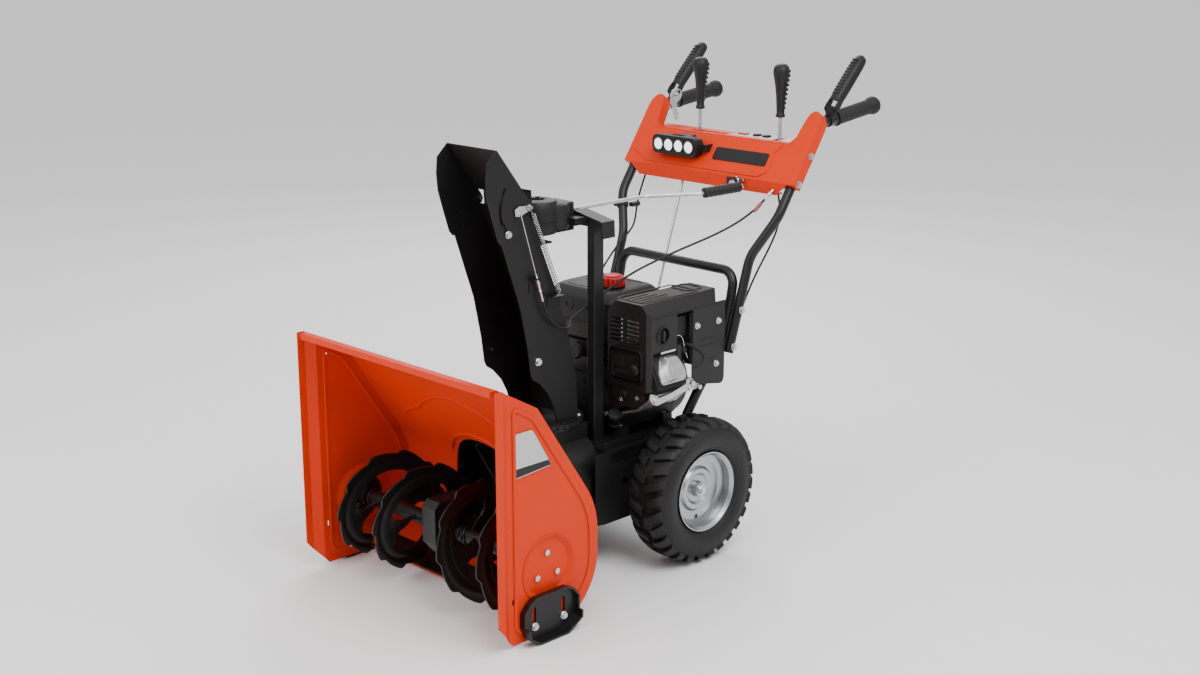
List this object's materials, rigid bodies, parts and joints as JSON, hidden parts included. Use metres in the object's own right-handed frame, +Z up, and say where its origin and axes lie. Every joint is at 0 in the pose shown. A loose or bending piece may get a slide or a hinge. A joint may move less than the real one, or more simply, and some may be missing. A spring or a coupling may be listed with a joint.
{
  "type": "snow blower",
  "caption": "Walk-behind two-stage snow blower: open auger housing, turning chute with tilting deflector, engine on a two-wheel frame, and a handlebar console.",
  "frame": {"origin": "on the ground, on the centre plane, midway between the front edge of the auger housing and the rear ends of the grips", "axes": "+Z up, the machine faces -Y, the operator's left is +X"},
  "size_m": [0.6632, 1.2701, 1.0865],
  "materials": {
    "orange_paint": "gloss orange-red powder coat",
    "black_paint": "satin black powder coat",
    "silver_paint": "light silver paint",
    "zinc": "bright zinc",
    "engine_metal": "as cast",
    "black_plastic": "fine moulded grain",
    "red_plastic": "moulded red",
    "black_rubber": "soft black rubber",
    "tyre": "black lugged tread"
  },
  "bodies": {
    "chassis": {"housing_shell": "orange_paint", "housing_side_left": "orange_paint", "housing_side_right": "orange_paint", "scraper_bar": "black_paint", "fixed_bolts": "zinc", "shaft_bearings": "zinc", "auger_gearbox": "black_paint", "impeller_drum": "orange_paint", "chute_head": "black_plastic", "chute_post": "black_paint", "tractor_frame": "black_paint", "belt_cover": "black_plastic", "drive_belt": "black_rubber", "engine_block": "engine_metal", "valve_cover": "engine_metal", "engine_shroud": "black_plastic", "muffler": "zinc", "carburettor": "engine_metal", "fuel_tank": "black_plastic", "recoil_cover": "black_plastic", "guard_loop": "black_paint", "handle_tubes": "black_paint", "handle_grips": "black_rubber", "console": "orange_paint", "control_panel": "black_plastic", "headlamp": "black_plastic", "lever_brackets": "zinc", "tilt_cable": "black_rubber", "clutch_cables": "black_rubber"},
    "wheels": {"axle": "zinc", "rim_left": "silver_paint", "rim_right": "silver_paint", "tyre_left": "tyre", "tyre_right": "tyre"},
    "auger": {"auger_shaft": "black_paint", "auger_left": "black_paint", "auger_right": "black_paint"},
    "impeller": {"impeller": "black_paint", "impeller_shaft": "zinc"},
    "crankshaft": {"engine_pulley": "zinc"},
    "chute": {"chute_ring": "black_plastic", "chute": "black_paint", "chute_bolts": "zinc", "deflector_spring": "zinc", "chute_cable": "black_rubber"},
    "deflector": {"chute_deflector": "black_paint"},
    "crank": {"crank_rod": "zinc", "crank_grip": "black_plastic"},
    "shift": {"shift_lever": "black_plastic"},
    "shift_link": {"shift_rod": "zinc"},
    "tilt": {"tilt_lever": "black_plastic"},
    "clutch_left": {"clutch_lever_left": "black_paint"},
    "clutch_right": {"clutch_lever_right": "black_paint"},
    "shoe_left": {"skid_shoe_left": "black_paint"},
    "shoe_right": {"skid_shoe_right": "black_paint"},
    "cap": {"fuel_cap": "red_plastic"},
    "recoil": {"recoil_handle": "black_plastic"},
    "rocker": {"rocker_switch": "black_plastic"},
    "start": {"start_button": "black_plastic"},
    "heater": {"heater_button": "black_plastic"}
  },
  "joints": [
    {"name": "wheels_roll", "type": "hinge", "parent": "chassis", "child": "wheels", "pos_m": [0, 0.0185, 0.165], "axis": [1, 0, 0], "continuous": true},
    {"name": "impeller_spin", "type": "hinge", "parent": "chassis", "child": "impeller", "pos_m": [0, -0.2815, 0.182], "axis": [0, 1, 0], "continuous": true},
    {"name": "auger_spin", "type": "hinge", "parent": "chassis", "child": "auger", "pos_m": [0, -0.4895, 0.144], "axis": [1, 0, 0], "continuous": true},
    {"name": "crankshaft_spin", "type": "hinge", "parent": "chassis", "child": "crankshaft", "pos_m": [0, -0.1125, 0.345], "axis": [0, 1, 0], "continuous": true},
    {"name": "chute_turn", "type": "hinge", "parent": "chassis", "child": "chute", "pos_m": [0, -0.2265, 0.332], "axis": [0, 0, 1], "range_deg": [-80, 72]},
    {"name": "deflector_tilt", "type": "hinge", "parent": "chute", "child": "deflector", "pos_m": [0, -0.3265, 0.823], "axis": [1, 0, 0], "range_deg": [0, 70], "stiffness_Nm_per_rad": 0.6, "springref_deg": -148.97},
    {"name": "crank_turn", "type": "hinge", "parent": "chassis", "child": "crank", "pos_m": [0, -0.1395, 0.782], "axis": [0.2496, 0.9667, 0.0562], "range_deg": [-360, 360]},
    {"name": "shift_swing", "type": "hinge", "parent": "chassis", "child": "shift", "pos_m": [-0.085, 0.3845, 0.79], "axis": [0, 1, 0], "range_deg": [-10, 34]},
    {"name": "shift_pull", "type": "slide", "parent": "chassis", "child": "shift_link", "axis": [0, 0.3136, 0.9496], "range_m": [-0.0022, 0.0073]},
    {"name": "tilt_swing", "type": "hinge", "parent": "chassis", "child": "tilt", "pos_m": [0.15, 0.3965, 0.83], "axis": [1, 0, 0], "range_deg": [0, 14]},
    {"name": "clutch_left_squeeze", "type": "hinge", "parent": "chassis", "child": "clutch_left", "pos_m": [0.244, 0.4645, 0.968], "axis": [1, 0, 0], "range_deg": [-30, 0], "stiffness_Nm_per_rad": 1, "springref_deg": 34.38},
    {"name": "clutch_right_squeeze", "type": "hinge", "parent": "chassis", "child": "clutch_right", "pos_m": [-0.244, 0.4645, 0.968], "axis": [1, 0, 0], "range_deg": [-30, 0], "stiffness_Nm_per_rad": 1, "springref_deg": 34.38},
    {"name": "shoe_left_height", "type": "slide", "parent": "chassis", "child": "shoe_left", "axis": [0, 0, 1], "range_m": [-0.028, 0]},
    {"name": "shoe_right_height", "type": "slide", "parent": "chassis", "child": "shoe_right", "axis": [0, 0, 1], "range_m": [-0.028, 0]},
    {"name": "cap_turn", "type": "hinge", "parent": "chassis", "child": "cap", "pos_m": [0, 0.0005, 0.6], "axis": [0, 0, 1], "range_deg": [0, 90]},
    {"name": "recoil_pull", "type": "slide", "parent": "chassis", "child": "recoil", "axis": [0, 1, 0], "range_m": [0, 0.1], "stiffness_N_per_m": 60, "springref_m": -0.05},
    {"name": "rocker_press", "type": "hinge", "parent": "chassis", "child": "rocker", "pos_m": [0.038, 0.4005, 0.89], "axis": [1, 0, 0], "range_deg": [-8, 8]},
    {"name": "start_press", "type": "slide", "parent": "chassis", "child": "start", "axis": [0, 0, 1], "range_m": [-0.0025, 0], "stiffness_N_per_m": 400, "springref_m": 0.0015},
    {"name": "heater_press", "type": "slide", "parent": "chassis", "child": "heater", "axis": [0, 0, 1], "range_m": [-0.0025, 0], "stiffness_N_per_m": 400, "springref_m": 0.0015}
  ],
  "couplings": [
    {"joint": "auger_spin", "follows": "impeller_spin", "ratio": 0.1},
    {"joint": "crank_turn", "follows": "chute_turn", "ratio": 4.5},
    {"joint": "shift_pull", "follows": "shift_swing", "m_per_rad": 0.0121},
    {"joint": "tilt_swing", "follows": "deflector_tilt", "ratio": 0.2}
  ]
}
